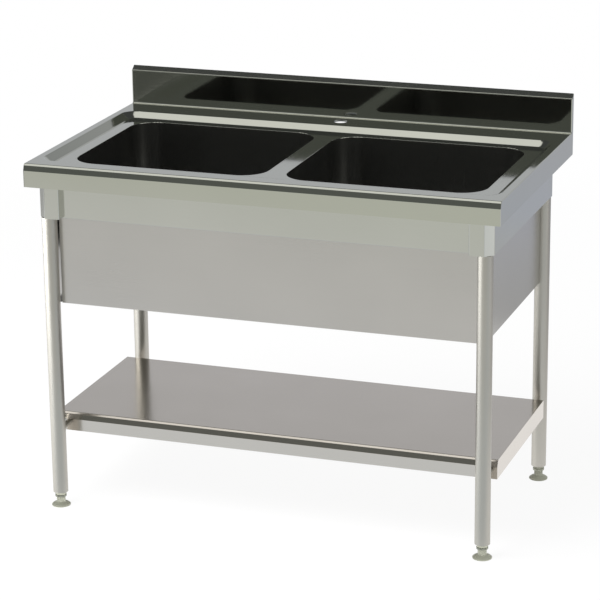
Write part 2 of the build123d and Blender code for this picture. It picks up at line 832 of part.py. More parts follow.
# Bolts from inside the shelf lips into the rivet nuts
with BuildPart() as shelf_bolts:
    for corner in corners:
        lip_inside = shelf_side(corner, shelf_bolt_z).offset(shelf_leg_offset + shelf_sheet)
        with BuildSketch(lip_inside):
            RegularPolygon(bolt_head_width / 2, 6, major_radius=False)
        extrude(amount=bolt_head_height)
        with BuildSketch(lip_inside):
            Circle(shelf_bolt / 2)
        extrude(amount=-shelf_leg_offset - shelf_sheet + nut_outer - rivet_nut_length)
save(shelf_bolts.part, "shelf_bolts")

# Bolts from inside the brackets down into the leg plugs
with BuildPart() as leg_bolts:
    for corner in corners:
        with BuildSketch(Plane.XY.offset(frame_bottom + frame_sheet)):
            with Locations(leg_place(corner)):
                RegularPolygon(leg_bolt_head_width / 2, 6, major_radius=False)
        extrude(amount=leg_bolt_head_height)
        with BuildSketch(Plane.XY.offset(frame_bottom + frame_sheet)):
            with Locations(leg_place(corner)):
                Circle(leg_bolt / 2)
        extrude(amount=-leg_bolt_length)
save(leg_bolts.part, "leg_bolts")


def make_screws(places, seat, grip):
    """Pan head screws driven upwards, heads against a seat and ends flush after the grip."""
    with BuildPart() as screws:
        for place in places:
            with BuildSketch(Plane.XY.offset(seat)):
                with Locations(place):
                    Circle(screw_head_diameter / 2)
            extrude(amount=-screw_head_height)
            with BuildSketch(Plane.XY.offset(seat)):
                with Locations(place):
                    Circle(screw_diameter / 2)
            extrude(amount=grip)
        chamfer(screws.edges().group_by(Axis.Z)[0], screw_head_height / 4)
    return screws.part


all_rail_screws = [place for corner in corners for place in rail_screws(corner)]
all_panel_screws = front_panel_screws + side_panel_screws["left"] + side_panel_screws["right"]
save(make_screws(all_rail_screws, web_top - frame_sheet, 2 * frame_sheet), "rail_screws")
save(make_screws(all_panel_screws, web_top - panel_sheet, panel_sheet + frame_sheet), "panel_screws")
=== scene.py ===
# %% [markdown]
# # A catering sink with two bowls, dressed in stainless steel
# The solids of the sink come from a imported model, in metres, with the floor at zero and the
# front facing minus Y. This lesson gives every sheet and tube its softened edges and its polish,
# models the screw feet again with more detail, and lights the sink like a catalogue picture.

# %% Load the frame
import bpy
import json
import math
from mathutils import Matrix, Vector


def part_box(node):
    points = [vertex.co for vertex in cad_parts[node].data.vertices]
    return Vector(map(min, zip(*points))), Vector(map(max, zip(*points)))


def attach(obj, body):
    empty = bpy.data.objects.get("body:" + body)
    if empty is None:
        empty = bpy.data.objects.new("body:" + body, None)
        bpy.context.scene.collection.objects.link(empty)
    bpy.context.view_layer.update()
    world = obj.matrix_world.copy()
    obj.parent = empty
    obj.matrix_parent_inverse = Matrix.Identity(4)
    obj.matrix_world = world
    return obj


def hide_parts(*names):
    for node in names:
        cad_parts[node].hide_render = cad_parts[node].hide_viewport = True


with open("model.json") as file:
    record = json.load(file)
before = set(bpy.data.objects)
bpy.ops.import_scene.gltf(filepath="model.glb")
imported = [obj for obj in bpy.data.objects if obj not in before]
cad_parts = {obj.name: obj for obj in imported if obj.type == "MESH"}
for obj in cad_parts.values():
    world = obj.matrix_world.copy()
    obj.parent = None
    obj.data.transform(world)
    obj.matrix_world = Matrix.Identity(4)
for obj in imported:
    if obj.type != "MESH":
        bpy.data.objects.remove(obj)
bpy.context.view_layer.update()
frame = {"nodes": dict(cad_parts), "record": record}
record = frame["record"]
body_of = {node: body for body, nodes in record["behaviour"]["bodies"].items() for node in nodes}
slot_of = {part["node"]: part["material_slot"] for part in record["subparts"]}
corners = ["front_left", "front_right", "rear_left", "rear_right"]
mm = 0.001

# %% [markdown]
# ## Colours and nodes
# Colours are written as sRGB hex values, as a picture editor shows them. Shaders work in linear
# light, so one function converts them. One more adds a node and fills its inputs, either with
# a plain value or with the output of another node.

# %% Colour and node helpers
WHITE = "#FFFFFF"
BLACK = "#000000"


def linear(hex_colour):
    """Linear RGBA of an sRGB hex colour."""
    channels = [int(hex_colour[i : i + 2], 16) / 255 for i in (1, 3, 5)]
    return [c / 12.92 if c <= 0.04045 else ((c + 0.055) / 1.055) ** 2.4 for c in channels] + [1.0]


def add_node(tree, kind, inputs=None, **settings):
    """A new node with its settings, and its inputs filled with values or linked to outputs."""
    node = tree.nodes.new(kind)
    for name, value in settings.items():
        setattr(node, name, value)
    for socket, value in (inputs or {}).items():
        if isinstance(value, bpy.types.NodeSocket):
            tree.links.new(value, node.inputs[socket])
        else:
            node.inputs[socket].default_value = value
    return node


def new_material(name):
    """A new material with its node tree, its shader and its Object coordinates."""
    material = bpy.data.materials.new(name)
    material.use_nodes = True
    tree = material.node_tree
    shader = tree.nodes["Principled BSDF"]
    place = add_node(tree, "ShaderNodeTexCoord").outputs["Object"]
    return material, tree, shader, place


print("middle grey in linear light:", [round(c, 3) for c in linear("#808080")])

# %% [markdown]
# ## Stainless sheet
# Catering sinks are folded from chrome nickel steel. The mill or a belt leaves fine lines along
# the sheet, and they blur what the steel mirrors. One function makes every metal finish: long thin
# noise for the lines, broad noise for the uneven polish, both on roughness, with a little bump.
# Real lines are under 0.1 mm apart, too fine to show, so they are drawn some ten times coarser.
# Noise seldom leaves the middle of its range, so only that part is spread over the roughness.

# %% Stainless steel
LINE_LENGTH = 160 * mm
LINE_PITCH = 1.1 * mm
LINE_DEPTH = 0.02 * mm
CLOUD_SIZE = 240 * mm
CLOUD_SHARE = 0.35
NOISE_LOW = 0.3
NOISE_HIGH = 0.7


def stainless(name, colour, dull_colour, roughness, spread, grain, bump):
    """Metal with brushing lines along one axis, X, Y or Z."""
    material, tree, shader, place = new_material(name)
    pitch = [1 / (LINE_LENGTH if axis == grain else LINE_PITCH) for axis in "XYZ"]
    stretched = add_node(tree, "ShaderNodeMapping", {"Vector": place, "Scale": pitch})
    lines = add_node(
        tree,
        "ShaderNodeTexNoise",
        {"Vector": stretched.outputs["Vector"], "Scale": 1.0, "Detail": 3.0, "Roughness": 0.6},
    )
    clouds = add_node(
        tree,
        "ShaderNodeTexNoise",
        {"Vector": place, "Scale": 1 / CLOUD_SIZE, "Detail": 3.0, "Roughness": 0.5},
    )
    polish = add_node(
        tree,
        "ShaderNodeMix",
        {"Factor": CLOUD_SHARE, "A": lines.outputs["Fac"], "B": clouds.outputs["Fac"]},
    )
    blur = add_node(
        tree,
        "ShaderNodeMapRange",
        {
            "Value": polish.outputs["Result"],
            "From Min": NOISE_LOW,
            "From Max": NOISE_HIGH,
            "To Min": roughness - spread,
            "To Max": roughness + spread,
        },
    )
    tone = add_node(
        tree,
        "ShaderNodeMix",
        {"Factor": clouds.outputs["Fac"], "A": linear(colour), "B": linear(dull_colour)},
        data_type="RGBA",
    )
    relief = add_node(
        tree,
        "ShaderNodeBump",
        {"Strength": bump, "Distance": LINE_DEPTH, "Height": lines.outputs["Fac"]},
    )
    tree.links.new(tone.outputs["Result"], shader.inputs["Base Color"])
    tree.links.new(blur.outputs["Result"], shader.inputs["Roughness"])
    tree.links.new(relief.outputs["Normal"], shader.inputs["Normal"])
    shader.inputs["Metallic"].default_value = 1.0
    return material


print("brushing lines:", LINE_PITCH / mm, "mm apart and", LINE_LENGTH / mm, "mm long")

# %% [markdown]
# ## One metal for each job
# The same sheet looks different after each way of working it, so each job has a finish of its own.
# The bowl's colour is darkened as painted shade, and the shelf's is made paler as painted light.
# A row gives its name, its colour, the colour where it is duller, its roughness and how far that
# spreads, the axis of the lines and the strength of their bump.

# %% Metal finishes
METALS = {
    # Polished top: a mirror that is only a little blurred
    "top_steel": ("polished_stainless_top", "#C8C9C0", "#C2C3BA", 0.07, 0.02, "X", 0.12),
    # Drawn bowl: dark, partly because it mirrors mostly itself and partly from painted shade in its colour,
    # with soft gleams in its corners
    "bowl_steel": ("drawn_stainless_bowl_painted_shade", "#9C9C99", "#969693", 0.3, 0.03, "Z", 0.02),
    # Satin rail: pale and even
    "frame_steel": ("satin_stainless_rail", "#CFD0CA", "#C9CAC4", 0.16, 0.04, "X", 0.25),
    # Brushed panel: a broad grey sheen
    "panel_steel": ("brushed_stainless_panel", "#CECCC9", "#C9C7C4", 0.24, 0.04, "X", 0.25),
    # Brushed shelf: its colour is made paler as painted light; it shows the legs as soft streaks
    "shelf_steel": ("brushed_stainless_shelf_painted_light", "#DDD6CE", "#D8D1C8", 0.17, 0.03, "X", 0.2),
    # Satin tube: one long soft highlight
    "leg_steel": ("satin_stainless_tube", "#CAC7BF", "#C5C2BA", 0.44, 0.04, "Z", 0.2),
    # Turned stem: grey, with fine lines
    "stem_steel": ("turned_stainless_stem", "#A6A79A", "#9B9C8F", 0.25, 0.06, "Z", 0.3),
    # Galvanised sheet: dull, with clouds in the zinc
    "stiffener_steel": ("galvanised_sheet", "#A9ACAD", "#8F9496", 0.42, 0.1, "Y", 0.3),
    # Zinc plated screws: pale grey, a little uneven
    "fastener_steel": ("zinc_plated_steel", "#B5B7B8", "#A2A5A8", 0.33, 0.08, "X", 0.2),
    # Chromed brass: nearly a clear mirror
    "waste_chrome": ("chromed_brass_waste", "#D2D4D6", "#C8CACD", 0.06, 0.03, "X", 0.05),
}
finishes = {slot: stainless(*metal) for slot, metal in METALS.items()}
print("metal finishes:", sorted(finishes))

# %% [markdown]
# ## Moulded plastic and rubber
# The screw feet are moulded nylon, the backnuts polypropylene and the gaskets rubber. All three are
# dull and show the spark eroded grain of their mould. The real grain is about 0.1 mm wide, too fine
# to show, so it is drawn about five times coarser. Slow changes of tone keep large faces from
# looking flat. A row gives name, colour, shade, roughness, grain size and strength of the bump.

# %% Moulded finishes
TONE_SIZE = 40 * mm
GRAIN_DEPTH = 0.05 * mm
GRAIN_SPREAD = 0.08
MOULDINGS = {
    # Nylon foot: grey green and half matt
    "foot_plastic": ("moulded_nylon_foot", "#CBCDBB", "#C3C5B3", 0.45, 0.5 * mm, 0.3),
    # Polypropylene nut: off white, a little duller
    "waste_plastic": ("moulded_polypropylene_nut", "#D8D8D3", "#CBCBC6", 0.5, 0.6 * mm, 0.3),
    # Rubber gasket: black and dull
    "gasket_rubber": ("moulded_black_rubber", "#1D1D1C", "#262625", 0.7, 0.4 * mm, 0.4),
}


def moulded(name, colour, shade, roughness, grain_size, bump):
    """Plastic or rubber with the grain of its mould and slow changes of tone."""
    material, tree, shader, place = new_material(name)
    grain = add_node(
        tree, "ShaderNodeTexNoise", {"Vector": place, "Scale": 1 / grain_size, "Detail": 2.0}
    )
    tone_noise = add_node(
        tree, "ShaderNodeTexNoise", {"Vector": place, "Scale": 1 / TONE_SIZE, "Detail": 2.0}
    )
    tone = add_node(
        tree,
        "ShaderNodeMix",
        {"Factor": tone_noise.outputs["Fac"], "A": linear(colour), "B": linear(shade)},
        data_type="RGBA",
    )
    blur = add_node(
        tree,
        "ShaderNodeMapRange",
        {
            "Value": grain.outputs["Fac"],
            "From Min": NOISE_LOW,
            "From Max": NOISE_HIGH,
            "To Min": roughness - GRAIN_SPREAD,
            "To Max": roughness + GRAIN_SPREAD,
        },
    )
    relief = add_node(
        tree,
        "ShaderNodeBump",
        {"Strength": bump, "Distance": GRAIN_DEPTH, "Height": grain.outputs["Fac"]},
    )
    tree.links.new(tone.outputs["Result"], shader.inputs["Base Color"])
    tree.links.new(blur.outputs["Result"], shader.inputs["Roughness"])
    tree.links.new(relief.outputs["Normal"], shader.inputs["Normal"])
    return material


for slot, moulding in MOULDINGS.items():
    finishes[slot] = moulded(*moulding)
print("finishes:", len(finishes))

# %% [markdown]
# ## Solids that stay
# Screws, bolts, rivet nuts, spacers, stiffeners, the tap plate, leg plugs and gaskets are already the
# right shape. They keep showing and only get their finish, by a change of the material in their slots.
# The other solids get it too, and are replaced further on.

# %% Give the solids their finishes
for node, solid in frame["nodes"].items():
    solid.material_slots[0].material = finishes[slot_of[node]]
print("solids with a finish:", len(frame["nodes"]))

# %% [markdown]
# ## Helpers for operators
# Operators act on whatever is selected, so each step first selects one object and nothing else.
# A finished piece then says which solid it stands for, which body carries it and which finish it has.


# %% Helpers
def select_only(piece):
    bpy.ops.object.select_all(action="DESELECT")
    piece.select_set(True)
    bpy.context.view_layer.objects.active = piece


def apply_modifier(piece, kind, **settings):
    """Adds one modifier with its settings and applies it at once."""
    select_only(piece)
    modifier = piece.modifiers.new(kind.title(), kind)
    for name, value in settings.items():
        setattr(modifier, name, value)
    bpy.ops.object.modifier_apply(modifier=modifier.name)


def stand_for(piece, node):
    """The piece takes the place, the body and the finish of a solid."""
    piece.name = piece.data.name = f"{node}_shell"
    piece.data.materials.clear()
    piece.data.materials.append(finishes[slot_of[node]])
    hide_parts(node)
    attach(piece, body_of[node])


print("bodies to ride on:", sorted(set(body_of.values())))

# %% [markdown]
# ## Folded sheet
# A sheet is never knife sharp: guillotined edges are deburred and every fold has a radius, and
# these thin lines catch the light. The solid of each sheet is copied and welded together, because
# it comes as loose triangles. Its flat triangles are dissolved into whole faces, the sharp edges
# get a small bevel, and normals weighted by face area keep the flats flat beside the rounded bends.
# The cut ends of the tubes and the edges of the wastes are softened in the same way.

# %% Sheets, tubes and wastes
DEBURR = 0.35 * mm
EDGE_STEPS = 2
SHARP = math.radians(32)
FLAT = math.radians(0.2)
WELD = 0.002 * mm


def welded_copy(node):
    """A copy of a solid's mesh with its loose triangles joined and its flats made whole."""
    piece = bpy.data.objects.new(f"{node}_shell", frame["nodes"][node].data.copy())
    bpy.context.collection.objects.link(piece)
    select_only(piece)
    bpy.ops.object.mode_set(mode="EDIT")
    bpy.ops.mesh.select_all(action="SELECT")
    bpy.ops.mesh.remove_doubles(threshold=WELD)
    bpy.ops.mesh.dissolve_limited(angle_limit=FLAT)
    bpy.ops.object.mode_set(mode="OBJECT")
    return piece


def soften_edges(piece, width):
    """A small round on every sharp edge."""
    apply_modifier(
        piece, "BEVEL", width=width, segments=EDGE_STEPS, limit_method="ANGLE", angle_limit=SHARP
    )


sheets = ["sink_top", "left_bowl", "right_bowl", "undershelf"]
sheets += [f"{side}_rail" for side in ("front", "rear", "left", "right")]
sheets += [f"{side}_panel" for side in ("front", "left", "right")]
sheets += [f"{corner}_{part}" for corner in corners for part in ("bracket", "leg")]
sheets += [f"{side}_waste_{part}" for side in ("left", "right") for part in ("flange", "nut")]
for node in sheets:
    piece = welded_copy(node)
    soften_edges(piece, DEBURR)
    select_only(piece)
    bpy.ops.object.shade_smooth_by_angle(angle=SHARP)
    apply_modifier(piece, "WEIGHTED_NORMAL", keep_sharp=True, weight=100)
    stand_for(piece, node)
    print(node, "faces:", len(piece.data.polygons))

# %% [markdown]
# ## Screw feet: the turned pieces
# Under each leg a nylon insert closes the tube with a collar, a steel stem screws into it, and a nylon
# pad stands on the floor. All three are round, so one helper works like a lathe: it starts with
# a circle, then extrudes and scales it from ring to ring. A shape with a bore starts as an open loop
# and comes back to its first ring, where the doubles are merged.

# %% Lathe helper
SIDES = 96


def turned(name, rings, bored=False):
    """A round piece on the Z axis from rings of (radius, height) in millimetres."""
    bpy.ops.object.select_all(action="DESELECT")
    radius, height = rings[0]
    bpy.ops.mesh.primitive_circle_add(
        vertices=SIDES,
        radius=radius * mm,
        fill_type="NOTHING" if bored else "NGON",
        location=(0, 0, height * mm),
    )
    piece = bpy.context.object
    piece.name = name
    bpy.ops.object.transform_apply(location=True, rotation=False, scale=False)
    bpy.ops.object.mode_set(mode="EDIT")
    for next_radius, next_height in rings[1:]:
        step = (0, 0, (next_height - height) * mm)
        bpy.ops.mesh.extrude_region_move(TRANSFORM_OT_translate={"value": step})
        ratio = next_radius / radius
        bpy.ops.transform.resize(value=(ratio, ratio, 1), center_override=(0, 0, 0))
        radius, height = next_radius, next_height
    bpy.ops.mesh.select_all(action="SELECT")
    bpy.ops.mesh.remove_doubles(threshold=WELD)
    bpy.ops.mesh.normals_make_consistent(inside=False)
    bpy.ops.object.mode_set(mode="OBJECT")
    print(name, "has", len(rings), "rings and", len(piece.data.polygons), "faces")
    return piece


print("a turned piece has", SIDES, "sides")

# %% [markdown]
# ## Foot pad and leg insert
# The pad is a low dome with a neck, and the neck has a socket for the stem's spindle. Moulded edges
# are never sharp, so each edge is given as two or three rings close together. The insert is a sleeve
# pressed into the tube, and only its collar shows. Sizes are in millimetres from the floor up.

# %% Pad and insert
PAD_RADIUS = 24.0
NECK_RADIUS = 11.0
NECK_TOP = 23.4
SOCKET_RADIUS = 7.1
SOCKET_FLOOR = 4.0
COLLAR_RADIUS = 14.0
COLLAR_LOW = 30.0
COLLAR_TOP = 37.0
SLEEVE_RADIUS = 17.4
SLEEVE_TOP = 81.9
BORE_RADIUS = 6.1
ROUND = math.radians(40)

pad_foot = [(PAD_RADIUS - 1.2, 0.0), (PAD_RADIUS - 0.3, 0.3), (PAD_RADIUS, 0.9), (PAD_RADIUS, 1.9)]
pad_dome = [(PAD_RADIUS - 0.2, 2.4), (PAD_RADIUS - 0.8, 3.0), (20.5, 5.1), (17.5, 6.8), (14.5, 8.0)]
pad_neck = [(12.6, 8.7), (NECK_RADIUS + 0.6, 9.4), (NECK_RADIUS + 0.1, 10.4), (NECK_RADIUS, 11.6)]
pad_lip = [(NECK_RADIUS, NECK_TOP - 0.8), (NECK_RADIUS - 0.2, NECK_TOP - 0.3), (NECK_RADIUS - 0.6, NECK_TOP)]
pad_socket = [
    (SOCKET_RADIUS + 0.7, NECK_TOP),
    (SOCKET_RADIUS + 0.2, NECK_TOP - 0.5),
    (SOCKET_RADIUS, NECK_TOP - 1.4),
    (SOCKET_RADIUS, SOCKET_FLOOR),
]
insert_bore = [(BORE_RADIUS, SLEEVE_TOP), (BORE_RADIUS, COLLAR_LOW + 0.5), (BORE_RADIUS + 0.5, COLLAR_LOW)]
insert_collar = [
    (COLLAR_RADIUS - 0.7, COLLAR_LOW),
    (COLLAR_RADIUS - 0.2, COLLAR_LOW + 0.2),
    (COLLAR_RADIUS, COLLAR_LOW + 0.7),
    (COLLAR_RADIUS, COLLAR_TOP - 0.1),
]
insert_sleeve = [
    (SLEEVE_RADIUS, COLLAR_TOP),
    (SLEEVE_RADIUS, SLEEVE_TOP - 0.5),
    (SLEEVE_RADIUS - 0.5, SLEEVE_TOP),
    (BORE_RADIUS, SLEEVE_TOP),
]

pad_master = turned("pad_master", pad_foot + pad_dome + pad_neck + pad_lip + pad_socket)
insert_master = turned("insert_master", insert_bore + insert_collar + insert_sleeve, bored=True)
for master in (pad_master, insert_master):
    select_only(master)
    bpy.ops.object.shade_smooth_by_angle(angle=ROUND)

# %% [markdown]
# ## Stem with its adjusting ring
# The stem is turned steel: a spindle for the pad, a ring that fingers or a hook spanner turn, and
# a threaded rod. The ring's notches are cut by eight small cylinders, joined into one cutter.

# %% Stem and ring
SPINDLE_RADIUS = 7.0
SPINDLE_LOW = 4.3
RING_RADIUS = 14.5
RING_LOW = 23.7
RING_TOP = 29.7
RING_NOTCHES = 8
NOTCH_RADIUS = 1.5
NOTCH_SIDES = 24
CUTTER_LENGTH = 10.0
RING_EDGE = 0.25 * mm
ROD_RADIUS = 5.1
ROD_TOP = 77.7

stem_spindle = [(SPINDLE_RADIUS - 0.5, SPINDLE_LOW), (SPINDLE_RADIUS, SPINDLE_LOW + 0.5)]
stem_spindle += [(SPINDLE_RADIUS, RING_LOW)]
stem_ring = [(RING_RADIUS - 0.6, RING_LOW), (RING_RADIUS, RING_LOW + 0.5)]
stem_ring += [(RING_RADIUS, RING_TOP - 0.5), (RING_RADIUS - 0.6, RING_TOP)]
stem_rod = [(ROD_RADIUS + 0.9, RING_TOP), (ROD_RADIUS, RING_TOP + 0.9)]
stem_rod += [(ROD_RADIUS, ROD_TOP - 0.7), (ROD_RADIUS - 0.6, ROD_TOP)]

stem_master = turned("stem_master", stem_spindle + stem_ring + stem_rod)
bpy.ops.object.select_all(action="DESELECT")
cutters = []
for notch in range(RING_NOTCHES):
    around = math.tau * notch / RING_NOTCHES
    spot = (RING_RADIUS * math.cos(around), RING_RADIUS * math.sin(around), (RING_LOW + RING_TOP) / 2)
    bpy.ops.mesh.primitive_cylinder_add(
        vertices=NOTCH_SIDES,
        radius=NOTCH_RADIUS * mm,
        depth=CUTTER_LENGTH * mm,
        location=[length * mm for length in spot],
    )
    cutters.append(bpy.context.object)
for cutter in cutters:
    cutter.select_set(True)
bpy.ops.object.join()
notch_cutter = bpy.context.object
apply_modifier(stem_master, "BOOLEAN", operation="DIFFERENCE", object=notch_cutter, solver="EXACT")
bpy.data.objects.remove(notch_cutter)
soften_edges(stem_master, RING_EDGE)
print("notched stem faces:", len(stem_master.data.polygons))

# %% [markdown]
# ## Screw thread
# The rod is an M12 thread: one ridge that climbs 1.75 mm each turn. A small square on its corner is
# carried round the rod by the Screw modifier. It is as tall as the pitch, so the turns meet, and its
# outer corner is the crest. The two ends of the ridge are closed and the ridge joins the stem.

# %% Thread
PITCH = 1.75
THREAD_TURNS = 25
THREAD_START = 32.0
THREAD_CORNERS = 4
THREAD_STEPS = 32

bpy.ops.object.select_all(action="DESELECT")
bpy.ops.mesh.primitive_circle_add(
    vertices=THREAD_CORNERS,
    radius=PITCH / 2 * mm,
    fill_type="NOTHING",
    location=(ROD_RADIUS * mm, 0, THREAD_START * mm),
    rotation=(math.pi / 2, 0, 0),
)
thread = bpy.context.object
bpy.ops.object.transform_apply(location=True, rotation=True, scale=False)
apply_modifier(
    thread,
    "SCREW",
    axis="Z",
    angle=math.tau,
    screw_offset=PITCH * mm,
    iterations=THREAD_TURNS,
    steps=THREAD_STEPS,
    render_steps=THREAD_STEPS,
    use_merge_vertices=True,
    merge_threshold=WELD,
)
bpy.ops.object.mode_set(mode="EDIT")
bpy.ops.mesh.select_all(action="SELECT")
bpy.ops.mesh.fill_holes(sides=THREAD_CORNERS)
bpy.ops.mesh.select_all(action="SELECT")
bpy.ops.mesh.normals_make_consistent(inside=False)
bpy.ops.object.mode_set(mode="OBJECT")
select_only(stem_master)
thread.select_set(True)
bpy.ops.object.join()
bpy.ops.object.shade_smooth_by_angle(angle=SHARP)
print("threaded stem faces:", len(stem_master.data.polygons))

# %% [markdown]
# ## Four feet
# The foot is modelled once. Each corner gets copies with meshes of their own, moved under its leg,
# and the move is applied, so that the place is in the mesh.

# %% Feet under the legs
masters = {"foot_pad": pad_master, "leg_insert": insert_master, "foot_stem": stem_master}
for corner in corners:
    low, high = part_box(f"{corner}_leg")
    for part, master in masters.items():
        select_only(master)
        bpy.ops.object.duplicate()
        piece = bpy.context.object
        piece.location = ((low[0] + high[0]) / 2, (low[1] + high[1]) / 2, 0)
        bpy.ops.object.transform_apply(location=True, rotation=False, scale=False)
        stand_for(piece, f"{corner}_{part}")
for master in masters.values():
    bpy.data.objects.remove(master)
print("feet:", len(corners), "with", len(masters), "pieces each")

# %% [markdown]
# ## Painting along a value
# The studio is painted in soft bands. One helper turns a list of stops, each with a value and
# a colour, into a colour ramp that follows that value.


# %% Ramp helper
def paint_ramp(tree, value, stops):
    """Colours along a value, from stops of (value, hex colour)."""
    low, high = stops[0][0], stops[-1][0]
    share = add_node(tree, "ShaderNodeMapRange", {"Value": value, "From Min": low, "From Max": high})
    ramp = add_node(tree, "ShaderNodeValToRGB", {"Fac": share.outputs["Result"]})
    elements = ramp.color_ramp.elements
    while len(elements) < len(stops):
        elements.new(1.0)
    for element, (stop, colour) in zip(elements, stops):
        element.position = (stop - low) / (high - low)
        element.color = linear(colour)
    print("ramp from", low, "to", high, "with", len(stops), "stops")
    return ramp.outputs["Color"]


# %% [markdown]
# ## Floor and its paint
# The sink stands on a white studio floor that has no end. Polished steel mirrors its surroundings,
# so the floor also shows in reflections. There it is painted with light and shade: pale grey tones
# that change from front to back, along lines that slant forward on both sides, a painted pool of light
# in a bright lane beside and behind the sink, as below a long lamp, and painted shade in a gap of the
# lane on the right, which keeps the right sides of the legs darker than the left.

# %% Floor paint
FLOOR_SIZE = 60.0
LANE_SLANT = 0.283
# Painted tones of light and shade that mirrors see on the floor, from front to back
PAINTED_FLOOR_TONES = [
    (-3.0, "#D3D5CC"),
    (-2.6, "#D7D7D3"),
    (-1.4, "#D9D8D5"),
    (-1.0, "#D4DBE0"),
    (-0.5, "#D4DBE0"),
    (1.0, "#D2D1CF"),
    (1.75, "#ADADAC"),
    (2.6, "#B8BABE"),
    (3.1, "#B5B9C5"),
    (4.0, "#B8BAC4"),
]
# Painted pool of light along the lane, and painted shade in its gap on the right
PAINTED_LIGHT_LANE = [(-0.3, BLACK), (-0.08, WHITE), (1.4, WHITE), (1.75, BLACK)]
PAINTED_SHADE_GAP = [(1.0, WHITE), (1.4, BLACK), (2.3, BLACK), (2.8, WHITE)]

bpy.ops.object.select_all(action="DESELECT")
bpy.ops.mesh.primitive_plane_add(size=FLOOR_SIZE)
floor = bpy.context.object
floor.name = "studio_floor"

floor_paint = bpy.data.materials.new("white_studio_floor")
floor_paint.use_nodes = True
floor.data.materials.append(floor_paint)
tree = floor_paint.node_tree
tree.nodes.clear()
place = add_node(tree, "ShaderNodeTexCoord").outputs["Object"]
spot = add_node(tree, "ShaderNodeSeparateXYZ", {"Vector": place})
sideways = add_node(tree, "ShaderNodeMath", {0: spot.outputs["X"]}, operation="ABSOLUTE")
lane = add_node(
    tree,
    "ShaderNodeMath",
    {0: sideways.outputs["Value"], 1: LANE_SLANT, 2: spot.outputs["Y"]},
    operation="MULTIPLY_ADD",
)
# The floor's painted light and shade, as mirrors see it
tone = paint_ramp(tree, lane.outputs["Value"], PAINTED_FLOOR_TONES)
painted_lane_light = paint_ramp(tree, lane.outputs["Value"], PAINTED_LIGHT_LANE)
painted_lane_shade = paint_ramp(tree, spot.outputs["X"], PAINTED_SHADE_GAP)
painted_light_share = add_node(tree, "ShaderNodeMath", {0: painted_lane_light, 1: painted_lane_shade}, operation="MULTIPLY")
painted_floor_colour = add_node(
    tree,
    "ShaderNodeMix",
    {"Factor": painted_light_share.outputs["Value"], "A": tone, "B": linear(WHITE)},
    data_type="RGBA",
)

# %% [markdown]
# ## What each ray sees of the floor
# The camera sees white and a mirror sees the paint. Both see mostly a glow, which needs no lamp, and
# a small rest of plain lit floor that shows a faint shadow. Further from the sink than the shadow
# reaches, the camera sees the glow alone, so the backdrop is clean white. The glow lights no matt
# piece: for those the floor is plain lit floor.

# %% Floor rays
FLOOR_GLOW = 0.92
SHADOW_REACH = 1.8
WHITE_REACH = 3.6
FLOOR_WHITE = "#F2F2F2"

ray = add_node(tree, "ShaderNodeLightPath").outputs
seen_colour = add_node(
    tree,
    "ShaderNodeMix",
    {"Factor": ray["Is Camera Ray"], "A": painted_floor_colour.outputs["Result"], "B": linear(WHITE)},
    data_type="RGBA",
)
lit = add_node(tree, "ShaderNodeBsdfDiffuse", {"Color": linear(FLOOR_WHITE)})
glow = add_node(tree, "ShaderNodeEmission", {"Color": seen_colour.outputs["Result"]})
mirrored = add_node(
    tree,
    "ShaderNodeMath",
    {0: ray["Is Camera Ray"], 1: ray["Is Glossy Ray"]},
    operation="MAXIMUM",
)
shown = add_node(
    tree,
    "ShaderNodeMath",
    {0: mirrored.outputs["Value"], 1: ray["Is Transmission Ray"]},
    operation="MAXIMUM",
)
near_share = add_node(
    tree, "ShaderNodeMath", {0: shown.outputs["Value"], 1: FLOOR_GLOW}, operation="MULTIPLY"
)
distance = add_node(tree, "ShaderNodeVectorMath", {0: place}, operation="LENGTH")
far_glow = add_node(
    tree,
    "ShaderNodeMapRange",
    {
        "Value": distance.outputs["Value"],
        "From Min": SHADOW_REACH,
        "From Max": WHITE_REACH,
        "To Min": 0.0,
        "To Max": 1 - FLOOR_GLOW,
    },
)
share = add_node(
    tree,
    "ShaderNodeMath",
    {0: ray["Is Camera Ray"], 1: far_glow.outputs["Result"], 2: near_share.outputs["Value"]},
    operation="MULTIPLY_ADD",
)
mixed = add_node(
    tree,
    "ShaderNodeMixShader",
    {0: share.outputs["Value"], 1: lit.outputs["BSDF"], 2: glow.outputs["Emission"]},
)
add_node(tree, "ShaderNodeOutputMaterial", {"Surface": mixed.outputs["Shader"]})
print("floor of", FLOOR_SIZE, "m with", len(tree.nodes), "nodes")

# %% [markdown]
# ## Dark flag, a painted reflection
# Photographers hang a dark flag where a bright floor would spoil a reflection. Here the left
# end of the splashback would mirror the white floor beyond the sink, so a small card hangs in that
# line of sight. Only mirror reflections see it: it is painted shade in the reflection, a dim grey glow
# that casts no shadow.

# %% Flag
FLAG_LOW = (-1.0, -1.05, 0.65)
FLAG_HIGH = (-1.0, -0.52, 0.80)
# Painted shade: the dim grey that the card gives off, seen only in mirrors
PAINTED_SHADE_COLOUR = "#555753"

bpy.ops.object.select_all(action="DESELECT")
bpy.ops.mesh.primitive_plane_add(size=1.0, rotation=(0, math.pi / 2, 0))
flag = bpy.context.object
flag.name = "dark_flag"
flag.location = [(low + high) / 2 for low, high in zip(FLAG_LOW, FLAG_HIGH)]
flag.scale = (FLAG_HIGH[2] - FLAG_LOW[2], FLAG_HIGH[1] - FLAG_LOW[1], 1)
bpy.ops.object.transform_apply()
flag.visible_camera = flag.visible_diffuse = flag.visible_shadow = False

